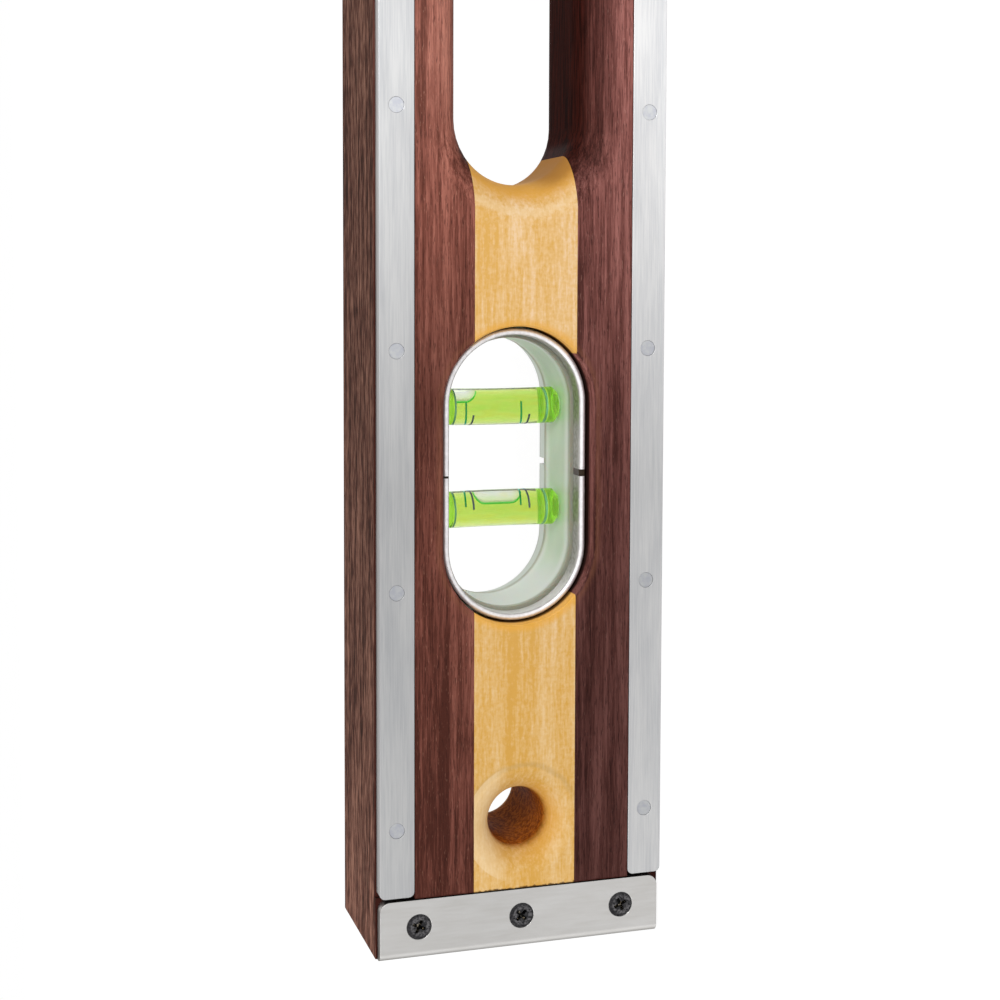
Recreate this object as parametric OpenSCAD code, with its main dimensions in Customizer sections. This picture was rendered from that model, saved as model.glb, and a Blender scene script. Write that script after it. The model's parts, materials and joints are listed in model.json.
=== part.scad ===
// Laminated wooden spirit level with steel edge strips, three glazed vial windows,
// two hand holes and a hang hole. It lies along X on its long narrow edge.
// Distances "from the end" run along X, the front face looks along -Y.

/* [Body] */
// Overall length
body_l = 609.6; // [570:1:760]
// Height from one working edge to the other
body_h = 64; // [56:0.5:78]
// Thickness from face to face
body_t = 31.75; // [26:0.25:40]
// Height of the pale core between the two dark rails
core_h = 22.7; // [18:0.1:26]
// How far the core's middle lies above the body's middle
core_rise = -0.3; // [-1.5:0.1:1.5]

/* [Edge strips] */
// Width of a steel strip, seen on the face
strip_w = 7.5; // [5:0.1:9]
// Thickness of a steel strip
strip_t = 3.2; // [2:0.1:4]
// Step from the working edge in to a front strip
strip_inset = 0.35; // [0.1:0.05:0.8]
// Wood lip between the working edges and the metal on the back face
back_inset = 1.2; // [0.6:0.1:2]
// Radius of a strip's corners
strip_corner = 1.2; // [0.4:0.1:2]
// Clearance of inlaid metal to the wood beside it
inlay_fit = 0.15; // [0.05:0.05:0.4]

/* [End plates] */
// Height of an end plate along the body
plate_h = 12.8; // [10:0.1:18]
// Thickness of an end plate
plate_t = 2.5; // [1.5:0.1:3]
// Step from the upper working edge in to an end plate
plate_inset = 0.4; // [0.2:0.1:1.5]
// Step from the lower working edge in to an end plate
plate_lower_inset = 1.0; // [0.2:0.1:1.5]
// Radius of the two inner corners of an end plate
plate_corner = 2.2; // [0.5:0.1:4]
// Radius of an end plate's rounded end edge
plate_nose = 1.8; // [0.5:0.1:2.2]
// Gap between an end plate and the strips
plate_gap = 0.75; // [0.3:0.05:1.5]

/* [Rivets and screws] */
// Rivets along one edge
rivet_count = 12; // [6:1:16]
// Diameter of a rivet
rivet_d = 3.2; // [2:0.1:4]
// First rivet from the end
rivet_end = 28; // [20:0.5:40]
// Clearance round a rivet and a screw
hole_fit = 0.05; // [0.02:0.01:0.1]
// How far rivets and screw heads sit below the metal's face
set_in = 0.1; // [0.05:0.05:0.3]
// Head diameter of an end plate screw
screw_head_d = 5.4; // [4:0.1:7]
// Shank diameter of an end plate screw
screw_d = 2.6; // [2:0.1:3.5]
// Length of an end plate screw
screw_l = 11; // [7:0.5:13]
// Spacing of the three screws in a plate
screw_pitch = 22.8; // [18:0.1:26]
// Middle of the screws from the end
screw_end = 7; // [5:0.1:9]
// Width of the cross recess in a screw head
recess_w = 2.9; // [2:0.1:3.6]
// Thickness of one arm of the cross recess
recess_arm = 0.7; // [0.5:0.05:1]
// Depth of the cross recess
recess_h = 1.1; // [0.6:0.1:1.6]
// Diameter of a screw's blunt tip
screw_tip_d = 0.4; // [0.2:0.1:1]
// Turn of the middle screw in a plate
screw_turn = 45; // [0:1:90]
// Further turn from each screw to the next
screw_turn_step = 20; // [0:1:30]

/* [Window] */
// Middle of an end window from the end
window_end = 101.8; // [90:0.5:120]
// Height of the windows' middle above the body's middle
window_rise = 1.1; // [-2:0.1:3]
// Radius of the round ends of the hole for a window
window_r = 16.75; // [13.5:0.05:18]
// Distance between the centres of a window's round ends
window_mid = 30; // [24:0.5:40]
// Edge break round a window hole
window_break = 0.3; // [0.2:0.1:1]
// Clearance between a bezel ring and the wood round it
ring_fit = 0.75; // [0.2:0.05:1.5]
// Wall of a bezel ring
ring_wall = 1.45; // [0.8:0.05:1.8]
// How much further apart the round ends of a bezel ring are than those of the hole
ring_stretch = 0.6; // [0:0.1:1]
// Depth of a bezel ring
ring_h = 3.9; // [2:0.1:4.5]
// How deep a bezel ring sits below the face
ring_recess = 2.8; // [0:0.1:3]
// Gap between ring halves on the side of the upper edge
ring_gap = 0.5; // [0.3:0.1:3]
// Gap between ring halves on the side of the lower edge
ring_wide_gap = 1.5; // [0.3:0.1:3]
// How far the liner stands inside the rings' bore
liner_step = 0.4; // [0:0.05:0.8]
// Thickness of a window glass
glass_t = 1; // [0.8:0.1:2]
// Clearance of the liner and glass to the wood
liner_fit = 0.1; // [0.05:0.05:0.3]

/* [Vials] */
// Outer diameter of a vial
vial_d = 8; // [6:0.1:9.5]
// Wall of a vial
vial_wall = 1; // [0.6:0.1:1.5]
// Radius to which a vial is bent
vial_bend_r = 500; // [250:10:1500]
// Distance between the two vials of a window
vial_pitch = 22.4; // [18:0.1:26]
// How far the pair of vials sits from the window's middle, away from the end
vial_shift = 2.5; // [-3:0.1:3]
// Clearance of the liquid to the bore
fluid_fit = 0.02; // [0.01:0.01:0.05]
// Length of the plug in each end of a vial
plug_l = 2.8; // [1:0.1:4]
// Chamfer on the ends of a vial
vial_chamfer = 0.8; // [0.3:0.1:1.2]
// Distance from a plumb vial's ends to the liner's straight walls
vial_gap = 0.6; // [0.3:0.1:3]
// Radius of the liner's pads at a plumb vial's ends
pad_r = 2; // [1.5:0.1:3]
// Clearance of a level vial in its socket
vial_fit = 0.25; // [0.2:0.05:0.5]
// Distance from a level vial's ends to the tip of the liner's round ends
level_inset = 7.1; // [5:0.1:12]
// Distance from a level vial to the liner's straight walls
level_gap = 1.6; // [1:0.1:3]
// Wall of a level vial's socket
socket_wall = 1.35; // [0.8:0.05:2]
// Grip of a level vial's socket on the vial
socket_l = 4; // [2:0.1:6]
// Length of the gas bubble
bubble_l = 11.2; // [6:0.1:14]
// Radius of the gas bubble
bubble_r = 2.6; // [1.5:0.1:3]
// How far the middle of a bubble at a vial's end lies from that end of the liquid
bubble_off = 0.3; // [0:0.1:6]
// Depth of the bubble below the top of the bore
bubble_depth = 2.4; // [1:0.1:3]

/* [Holes] */
// Diameter of the hang hole
hang_d = 12.7; // [8:0.1:16]
// Middle of the hang hole from the end
hang_end = 27.2; // [24:0.1:34]
// Radius of the hang hole's rounded rims
hang_round = 6.5; // [3:0.1:8]
// Height of the clear slot of a hand hole
grip_h = 27; // [20:0.1:28]
// Clear length of a hand hole
grip_l = 79.4; // [60:0.1:110]
// How far the hand holes' middle lies above the body's middle
grip_rise = -0.15; // [-1.5:0.05:1.5]
// Radius of a hand hole's rounded rims
grip_round = 9.8; // [6:0.1:11]

/* [Hidden] */
$fn = 96;
small_fn = 32;
bend_fn = 1440;
over = 1;
edge_lift = 0.15;
end_joint = 0.3;

half_l = body_l / 2;
half_t = body_t / 2;
mid_z = body_h / 2;
core_low = mid_z + core_rise - core_h / 2;
core_high = mid_z + core_rise + core_h / 2;
inner_end = plate_h + plate_gap;
strip_l = body_l - 2 * inner_end;
rivet_pitch = (body_l - 2 * rivet_end) / (rivet_count - 1);
window_z = mid_z + window_rise;
windows = [-half_l + window_end, 0, half_l - window_end];
grips = [(windows[0] + windows[1]) / 2, (windows[1] + windows[2]) / 2];
grip_mid = grip_l - grip_h;
hang_x = -half_l + hang_end;
ring_r = window_r - ring_fit;
ring_bore_r = ring_r - ring_wall;
glass_depth = ring_recess + ring_h;
liner_depth = glass_depth + glass_t;
liner_r = window_r - liner_fit;
liner_bore_r = ring_bore_r - liner_step;
liner_wall = liner_r - liner_bore_r;
liner_l = body_t - 2 * liner_depth;
vial_r = vial_d / 2;
bore_r = vial_r - vial_wall;
plumb_l = 2 * (liner_bore_r - vial_gap);
level_l = window_mid + 2 * (liner_bore_r - level_inset);
level_pitch = 2 * (liner_bore_r - level_gap - vial_r);
socket_r = vial_r + vial_fit + socket_wall;
plumb_bubble = plumb_l / 2 - plug_l - bubble_off;
level_bubble = level_l / 2 - plug_l - bubble_off;
// Angle that a bent vial of length l spans, and how far its ends fall behind its middle
function span(l) = 2 * asin(l / 2 / vial_bend_r);
function fall(l) = vial_bend_r * (1 - cos(span(l) / 2));

// Turns a shape drawn in the face plane (X along the body, Y up, Z to the front) into place
module on_face(x, z) {
    translate([x, 0, z]) rotate([90, 0, 0]) children();
}

// Sweeps a profile of radius and height round a slot whose end centres lie mid apart
module race(mid) {
    for (turn = [0, 180]) {
        rotate([0, 0, turn]) translate([mid / 2, 0, 0]) rotate([0, 0, -90])
            rotate_extrude(angle = 180) children();
        rotate([0, 0, turn]) translate([-mid / 2, 0, 0]) rotate([90, 0, 90])
            linear_extrude(height = mid) children();
    }
}

// Hole through both faces for a window, with broken edges
module window_hole(x) {
    reach = window_r + window_break + over;
    on_face(x, window_z) race(window_mid) polygon([
        [0, -half_t - over], [reach, -half_t - over], [window_r, window_break - half_t],
        [window_r, half_t - window_break], [reach, half_t + over], [0, half_t + over]
    ]);
}

// Section, from the middle outwards, of a hole of half width r with both rims rounded
module rimmed_section(r, round) {
    rim = r + round;
    rim_z = half_t - round + edge_lift;
    difference() {
        translate([0, -half_t - over]) square([rim, body_t + 2 * over]);
        translate([r, -rim_z]) square([2 * round, 2 * rim_z]);
        for (side = [-1, 1])
            translate([rim, side * rim_z]) circle(round);
    }
}

module grip_hole(x) {
    on_face(x, mid_z + grip_rise) race(grip_mid) rimmed_section(grip_h / 2, grip_round);
}

module hang_hole() {
    on_face(hang_x, mid_z) rotate_extrude() rimmed_section(hang_d / 2, hang_round);
}

// Distance of the metal on one face (side -1 is the front) from the working edges, and the
// distance at which its rebates start: open to the edges in front, behind a lip on the back
function inset(side) = side < 0 ? strip_inset : back_inset;
function seat_start(side) = side < 0 ? -over : back_inset - inlay_fit;

// Height of a point at distance d from the lower working edge (edge -1) or the upper one
function from_edge(edge, d) = edge < 0 ? d : body_h - d;

// Rebate for the strip on one face and along one working edge
module strip_seat(side, edge) {
    start = seat_start(side);
    depth = inset(side) + strip_w + inlay_fit;
    long = body_l - 2 * (plate_h + end_joint);
    translate([0, side * (half_t - strip_t / 2 + over / 2), from_edge(edge, (start + depth) / 2)])
        cube([long, strip_t + over, depth - start], center = true);
}

// Rebates for the end plates on both faces and at both ends
module plate_seats() {
    long = plate_h + end_joint + over;
    for (end = [-1, 1])
        for (side = [-1, 1])
            translate([
                end * (half_l + over - long / 2),
                side * (half_t - plate_t / 2 + over / 2),
                mid_z
            ]) cube([long, plate_t + over, body_h - 2 * seat_start(side)], center = true);
}

// Height of an end plate's lower and upper end, and of its middle
function plate_low(side) = side < 0 ? plate_lower_inset : back_inset;
function plate_high(side) = body_h - (side < 0 ? plate_inset : back_inset);
function plate_z(side) = (plate_low(side) + plate_high(side)) / 2;

function rivet_x(i) = -half_l + rivet_end + i * rivet_pitch;
function rivet_z(edge) = from_edge(edge, strip_inset + strip_w / 2);

// Row of pins through both faces along one working edge
module rivet_row(edge, d, long) {
    for (i = [0 : rivet_count - 1])
        translate([rivet_x(i), 0, rivet_z(edge)]) rotate([90, 0, 0])
            cylinder(h = long, d = d, center = true, $fn = small_fn);
}

// Puts a screw or its hole, drawn with its axis on Z and its head at 0, into one plate
module at_screw(end, side, n) {
    translate([end * (half_l - screw_end), side * half_t, plate_z(side) + n * screw_pitch])
        rotate([-90 * side, 0, 0]) children();
}

module screw_holes(end, rows) {
    for (side = [-1, 1])
        for (n = rows)
            at_screw(end, side, n) translate([0, 0, -screw_l - set_in])
                cylinder(h = screw_l + set_in, r = screw_d / 2 + hole_fit, $fn = small_fn);
}

// One dark rail, from the working edge to the core
module rail(edge) {
    low = edge < 0 ? 0 : core_high;
    high = edge < 0 ? core_low : body_h;
    color("#5b302a") difference() {
        translate([-half_l, -half_t, low]) cube([body_l, body_t, high - low]);
        for (x = windows) window_hole(x);
        for (x = grips) grip_hole(x);
        hang_hole();
        for (side = [-1, 1]) strip_seat(side, edge);
        plate_seats();
        rivet_row(edge, rivet_d + 2 * hole_fit, body_t + over);
        for (end = [-1, 1]) screw_holes(end, [edge]);
    }
}

// One pale core block between two neighbouring openings, or between an opening and an end
module core(from, to) {
    color("#e2bd72") difference() {
        translate([from, -half_t, core_low]) cube([to - from, body_t, core_high - core_low]);
        children();
    }
}

module core_left_end() {
    core(-half_l, windows[0]) {
        window_hole(windows[0]);
        hang_hole();
        plate_seats();
        screw_holes(-1, [0]);
    }
}

module core_left_inner() {
    core(windows[0], grips[0]) {
        window_hole(windows[0]);
        grip_hole(grips[0]);
    }
}

module core_middle_left() {
    core(grips[0], windows[1]) {
        grip_hole(grips[0]);
        window_hole(windows[1]);
    }
}

module core_middle_right() {
    core(windows[1], grips[1]) {
        window_hole(windows[1]);
        grip_hole(grips[1]);
    }
}

module core_right_inner() {
    core(grips[1], windows[2]) {
        grip_hole(grips[1]);
        window_hole(windows[2]);
    }
}

module core_right_end() {
    core(windows[2], half_l) {
        window_hole(windows[2]);
        plate_seats();
        screw_holes(1, [0]);
    }
}

module rounded_bar(long, wide, r) {
    square([long - 2 * r, wide], center = true);
    square([long, wide - 2 * r], center = true);
    for (x = [-1, 1])
        for (y = [-1, 1])
            translate([x * (long / 2 - r), y * (wide / 2 - r)]) circle(r, $fn = small_fn);
}

// Steel strip inlaid along one working edge on one face
module strip(side, edge) {
    color("#b4b6b5") difference() {
        on_face(0, from_edge(edge, inset(side) + strip_w / 2))
            translate([0, 0, -side * half_t + min(0, side) * strip_t])
                linear_extrude(height = strip_t) rounded_bar(strip_l, strip_w, strip_corner);
        rivet_row(edge, rivet_d + 2 * hole_fit, body_t + over);
    }
}

// Side view of an end plate: the end is at x = 0, the wood at y = plate_t
module plate_section() {
    intersection() {
        square([plate_h, plate_t]);
        union() {
            translate([plate_nose, 0]) square([plate_h, plate_t]);
            translate([0, plate_nose]) square([plate_h, plate_t]);
            translate([plate_nose, plate_nose]) circle(plate_nose, $fn = small_fn);
        }
    }
}

// End plate with two rounded inner corners and three countersunk holes
module end_plate(end, side) {
    sink = (screw_head_d - screw_d) / 2;
    wide = plate_high(side) - plate_low(side);
    color("#bdbab5") difference() {
        mirror([end > 0 ? 1 : 0, 0, 0]) mirror([0, side > 0 ? 1 : 0, 0])
            translate([-half_l, -half_t, plate_z(side)]) intersection() {
                linear_extrude(height = wide, center = true) plate_section();
                translate([plate_h / 2 - plate_corner, 0, 0]) rotate([90, 0, 0])
                    linear_extrude(height = 3 * plate_t, center = true)
                        rounded_bar(plate_h + 2 * plate_corner, wide, plate_corner);
            }
        for (n = [-1 : 1])
            at_screw(end, side, n) {
                translate([0, 0, -plate_t - over])
                    cylinder(h = plate_t + 2 * over, r = screw_d / 2 + hole_fit, $fn = small_fn);
                translate([0, 0, -set_in - sink])
                    cylinder(h = sink, r1 = screw_d / 2 + hole_fit, r2 = screw_head_d / 2 + hole_fit,
                        $fn = small_fn);
                translate([0, 0, -set_in])
                    cylinder(h = set_in + over, r = screw_head_d / 2 + hole_fit, $fn = small_fn);
            }
    }
}

// Countersunk screw with a cross recess, head up
module screw() {
    sink = (screw_head_d - screw_d) / 2;
    difference() {
        union() {
            translate([0, 0, -sink])
                cylinder(h = sink, d1 = screw_d, d2 = screw_head_d, $fn = small_fn);
            translate([0, 0, screw_d - screw_l])
                cylinder(h = screw_l - screw_d - sink, d = screw_d, $fn = small_fn);
            translate([0, 0, -screw_l])
                cylinder(h = screw_d, d1 = screw_tip_d, d2 = screw_d, $fn = small_fn);
        }
        for (turn = [0, 90])
            rotate([0, 0, turn])
                cube([recess_w, recess_arm, 2 * recess_h], center = true);
    }
}

module screws(end) {
    color("#2c2d31")
        for (side = [-1, 1])
            for (n = [-1 : 1])
                at_screw(end, side, n) translate([0, 0, -set_in])
                    rotate([0, 0, screw_turn + n * screw_turn_step]) screw();
}

module rivets(edge) {
    color("#a9abac") rivet_row(edge, rivet_d, body_t - 2 * set_in);
}

// Tube wall of the liner
module liner_wall_shape() {
    race(window_mid) translate([liner_bore_r, -liner_l / 2]) square([liner_wall, liner_l]);
}

// Liner of an end window, with a round pad at each end of both plumb vials
module plumb_liner(x, shift) {
    color("#b5c6b0") {
        on_face(x, window_z) liner_wall_shape();
        for (way = [-1, 1])
            plumb_place(x, shift, way) at_plugs(plumb_l) translate([0, 0, plug_l])
                cylinder(h = vial_gap + liner_wall / 2, r = pad_r, $fn = small_fn);
    }
}

// Liner of the centre window, with moulded sockets for the two level vials
module level_liner() {
    pocket = level_l / 2 + vial_fit;
    color("#b5c6b0") on_face(windows[1], window_z) difference() {
        union() {
            liner_wall_shape();
            intersection() {
                for (end = [-1, 1])
                    for (way = [-1, 1])
                        translate([
                            end * (level_l / 2 - socket_l),
                            way * (level_pitch / 2 - fall(level_l)),
                            0
                        ]) rotate([0, 90 * end, 0]) cylinder(h = level_l, r = socket_r);
                race(window_mid) translate([0, -liner_l / 2])
                    square([liner_bore_r + liner_wall / 2, liner_l]);
            }
        }
        for (way = [-1, 1])
            translate([0, way * (level_pitch / 2 - fall(level_l)), 0]) rotate([0, 90, 0])
                cylinder(h = 2 * pocket, r = vial_r + vial_fit, center = true);
    }
}

// Section of a bezel ring: a straight wall with a half-round rim
module ring_section() {
    straight = ring_h - ring_wall / 2;
    translate([ring_bore_r, half_t - glass_depth]) {
        square([ring_wall, straight]);
        translate([ring_wall / 2, straight]) circle(ring_wall / 2, $fn = small_fn);
    }
}

// Half of a bezel ring: way -1 lies towards the left end, side -1 on the front face
module half_ring(x, way, side) {
    reach = window_mid + 4 * ring_r;
    color("#d0cdd0") on_face(x, window_z) mirror([0, 0, side > 0 ? 1 : 0]) difference() {
        race(window_mid + ring_stretch) ring_section();
        translate([way * (ring_gap - reach) / 2, reach / 2, 0]) cube(reach, center = true);
        translate([way * (ring_wide_gap - reach) / 2, -reach / 2, 0]) cube(reach, center = true);
    }
}

module glass(x, side) {
    color("#d9ead6", 0.4) on_face(x, window_z)
        translate([0, 0, -side * (half_t - liner_depth + glass_t / 2)])
            race(window_mid) translate([0, -glass_t / 2]) square([liner_r, glass_t]);
}

// Round bar of length l along X, bent so that its middle bows towards +Y
module bent_bar(l, r) {
    translate([0, -vial_bend_r, 0]) rotate([0, 0, 90 - span(l) / 2])
        rotate_extrude(angle = span(l), $fn = bend_fn)
            translate([vial_bend_r, 0]) circle(r, $fn = small_fn);
}

// Places a vial of an end window: way -1 is the one towards the left end, bowed away from it
module plumb_place(x, shift, way) {
    on_face(x + shift + way * vial_pitch / 2, window_z) rotate([0, 0, -90]) mirror([0, way > 0 ? 1 : 0, 0])
        children();
}

// Places a vial of the centre window: way 1 is the upper one, bowed upwards
module level_place(way) {
    on_face(windows[1], window_z + way * level_pitch / 2) mirror([0, way < 0 ? 1 : 0, 0]) children();
}

module vial(l) {
    color("#bfe05a", 0.5) difference() {
        bent_bar(l - 2 * plug_l, vial_r);
        bent_bar(l, bore_r);
    }
}

// Gas bubble along X, pressed against the bowed side of the bore
module bubble() {
    half = bubble_l / 2 - bubble_r;
    translate([0, bore_r - bubble_depth + bubble_r, 0]) rotate([0, 90, 0]) rotate_extrude() {
        translate([0, -half]) square([bubble_r, 2 * half]);
        for (end = [-1, 1])
            translate([0, end * half]) intersection() {
                circle(bubble_r, $fn = small_fn);
                translate([0, -bubble_r]) square(2 * bubble_r);
            }
    }
}

// Liquid in a vial of length l, with the bubble's middle at the given distance along it.
// A bubble at an end lies on the side away from the bow
module fluid(l, at) {
    color("#a4d02c", 0.7) difference() {
        bent_bar(l - 2 * plug_l, bore_r - fluid_fit);
        translate([at, -fall(2 * at), 0]) mirror([0, at < 0 ? 1 : 0, 0]) bubble();
    }
}

// Places a shape where both plugs of a vial of length l start, with +Z outwards
module at_plugs(l) {
    for (end = [-1, 1])
        translate([0, -vial_bend_r, 0]) rotate([0, 0, -end * span(l - 2 * plug_l) / 2])
            translate([0, vial_bend_r, 0]) rotate([0, 90 * end, 0]) children();
}

// The two chamfered end plugs of a vial
module plugs(l) {
    color("#6db62c") at_plugs(l) {
        cylinder(h = plug_l - vial_chamfer, r = vial_r);
        translate([0, 0, plug_l - vial_chamfer])
            cylinder(h = vial_chamfer, r1 = vial_r, r2 = vial_r - vial_chamfer);
    }
}

rail(-1);  // rail_lower
rail(1);  // rail_upper
core_left_end();
core_left_inner();
core_middle_left();
core_middle_right();
core_right_inner();
core_right_end();
strip(-1, -1);  // strip_front_lower
strip(-1, 1);  // strip_front_upper
strip(1, -1);  // strip_back_lower
strip(1, 1);  // strip_back_upper
end_plate(-1, -1);  // end_plate_left_front
end_plate(-1, 1);  // end_plate_left_back
end_plate(1, -1);  // end_plate_right_front
end_plate(1, 1);  // end_plate_right_back
rivets(-1);  // rivets_lower
rivets(1);  // rivets_upper
screws(-1);  // screws_left
screws(1);  // screws_right
plumb_liner(windows[0], vial_shift);  // left_liner
half_ring(windows[0], -1, -1);  // left_ring_front_outer
half_ring(windows[0], 1, -1);  // left_ring_front_inner
half_ring(windows[0], -1, 1);  // left_ring_back_outer
half_ring(windows[0], 1, 1);  // left_ring_back_inner
glass(windows[0], -1);  // left_glass_front
glass(windows[0], 1);  // left_glass_back
plumb_place(windows[0], vial_shift, -1) vial(plumb_l);  // left_vial_outer
plumb_place(windows[0], vial_shift, 1) vial(plumb_l);  // left_vial_inner
plumb_place(windows[0], vial_shift, -1) fluid(plumb_l, 0);  // left_fluid_outer
plumb_place(windows[0], vial_shift, 1) fluid(plumb_l, -plumb_bubble);  // left_fluid_inner
plumb_place(windows[0], vial_shift, -1) plugs(plumb_l);  // left_plugs_outer
plumb_place(windows[0], vial_shift, 1) plugs(plumb_l);  // left_plugs_inner
level_liner();  // centre_liner
half_ring(windows[1], -1, -1);  // centre_ring_front_outer
half_ring(windows[1], 1, -1);  // centre_ring_front_inner
half_ring(windows[1], -1, 1);  // centre_ring_back_outer
half_ring(windows[1], 1, 1);  // centre_ring_back_inner
glass(windows[1], -1);  // centre_glass_front
glass(windows[1], 1);  // centre_glass_back
level_place(-1) vial(level_l);  // centre_vial_lower
level_place(1) vial(level_l);  // centre_vial_upper
level_place(-1) fluid(level_l, -level_bubble);  // centre_fluid_lower
level_place(1) fluid(level_l, 0);  // centre_fluid_upper
level_place(-1) plugs(level_l);  // centre_plugs_lower
level_place(1) plugs(level_l);  // centre_plugs_upper
plumb_liner(windows[2], -vial_shift);  // right_liner
half_ring(windows[2], 1, -1);  // right_ring_front_outer
half_ring(windows[2], -1, -1);  // right_ring_front_inner
half_ring(windows[2], 1, 1);  // right_ring_back_outer
half_ring(windows[2], -1, 1);  // right_ring_back_inner
glass(windows[2], -1);  // right_glass_front
glass(windows[2], 1);  // right_glass_back
plumb_place(windows[2], -vial_shift, 1) vial(plumb_l);  // right_vial_outer
plumb_place(windows[2], -vial_shift, -1) vial(plumb_l);  // right_vial_inner
plumb_place(windows[2], -vial_shift, 1) fluid(plumb_l, -plumb_bubble);  // right_fluid_outer
plumb_place(windows[2], -vial_shift, -1) fluid(plumb_l, 0);  // right_fluid_inner
plumb_place(windows[2], -vial_shift, 1) plugs(plumb_l);  // right_plugs_outer
plumb_place(windows[2], -vial_shift, -1) plugs(plumb_l);  // right_plugs_inner
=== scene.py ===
import json
import bpy
import numpy as np
from mathutils import Matrix, Vector


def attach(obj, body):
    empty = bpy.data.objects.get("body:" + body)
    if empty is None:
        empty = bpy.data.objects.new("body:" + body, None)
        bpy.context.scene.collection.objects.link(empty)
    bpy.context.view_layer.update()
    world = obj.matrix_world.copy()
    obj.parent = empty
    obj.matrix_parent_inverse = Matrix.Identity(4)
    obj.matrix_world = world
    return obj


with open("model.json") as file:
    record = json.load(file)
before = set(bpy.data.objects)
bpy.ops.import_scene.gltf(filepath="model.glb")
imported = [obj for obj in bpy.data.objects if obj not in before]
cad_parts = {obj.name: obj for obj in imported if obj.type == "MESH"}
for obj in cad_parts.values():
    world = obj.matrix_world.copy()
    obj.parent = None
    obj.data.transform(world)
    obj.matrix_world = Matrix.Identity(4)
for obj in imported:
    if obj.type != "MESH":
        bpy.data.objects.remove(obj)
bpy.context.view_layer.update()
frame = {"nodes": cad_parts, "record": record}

nodes = frame["nodes"]
bpy.context.scene.view_settings.view_transform = "Standard"
print("frame loaded,", len(nodes), "nodes")

# sizes that the looks follow, in metres, the same as the construction's
level = {
    "halfLength": 0.3048, "height": 0.064, "thickness": 0.03175,
    "windowEnd": 0.1018, "windowZ": 0.0331, "windowMid": 0.030,
    "gripMid": 0.0524, "gripZ": 0.03185, "hangEnd": 0.0272,
    "bend": 0.5, "vialPitch": 0.0224, "vialShift": 0.0025, "plumbTube": 0.0215,
    "levelPitch": 0.0171, "levelTube": 0.0385,
}
windowXs = [-level["halfLength"] + level["windowEnd"], 0.0, level["halfLength"] - level["windowEnd"]]
gripXs = [windowXs[0] / 2, windowXs[2] / 2]
hangX = -level["halfLength"] + level["hangEnd"]
midZ = level["height"] / 2


# the camera looks at the level as the photograph does: length upright, upper edge to the left
cameraPlace = {
    "eye": (-0.1612, -0.3366, 0.1431),
    "look": (-0.059805, 0.960517, -0.271716),
    "right": (0.000396, -0.272180, -0.962246),
    "lens": 58.03, "shiftX": 0.0681, "shiftY": -0.1250, "clipStart": 0.01,
}


def makeCamera(place):
    # its directions are made square to each other: up from right and look, then right again from look and up
    data = bpy.data.cameras.new("levelCamera")
    data.sensor_width = 36.0
    data.lens = place["lens"]
    data.shift_x = place["shiftX"]
    data.shift_y = place["shiftY"]
    data.clip_start = place["clipStart"]
    cam = bpy.data.objects.new("levelCamera", data)
    look = Vector(place["look"]).normalized()
    right = Vector(place["right"]).normalized()
    up = right.cross(look).normalized()
    right = look.cross(up)
    turn = Matrix((right, up, -look)).transposed().to_4x4()
    cam.matrix_world = Matrix.Translation(Vector(place["eye"])) @ turn
    bpy.context.scene.collection.objects.link(cam)
    bpy.context.scene.camera = cam


makeCamera(cameraPlace)
print("camera set")


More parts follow.
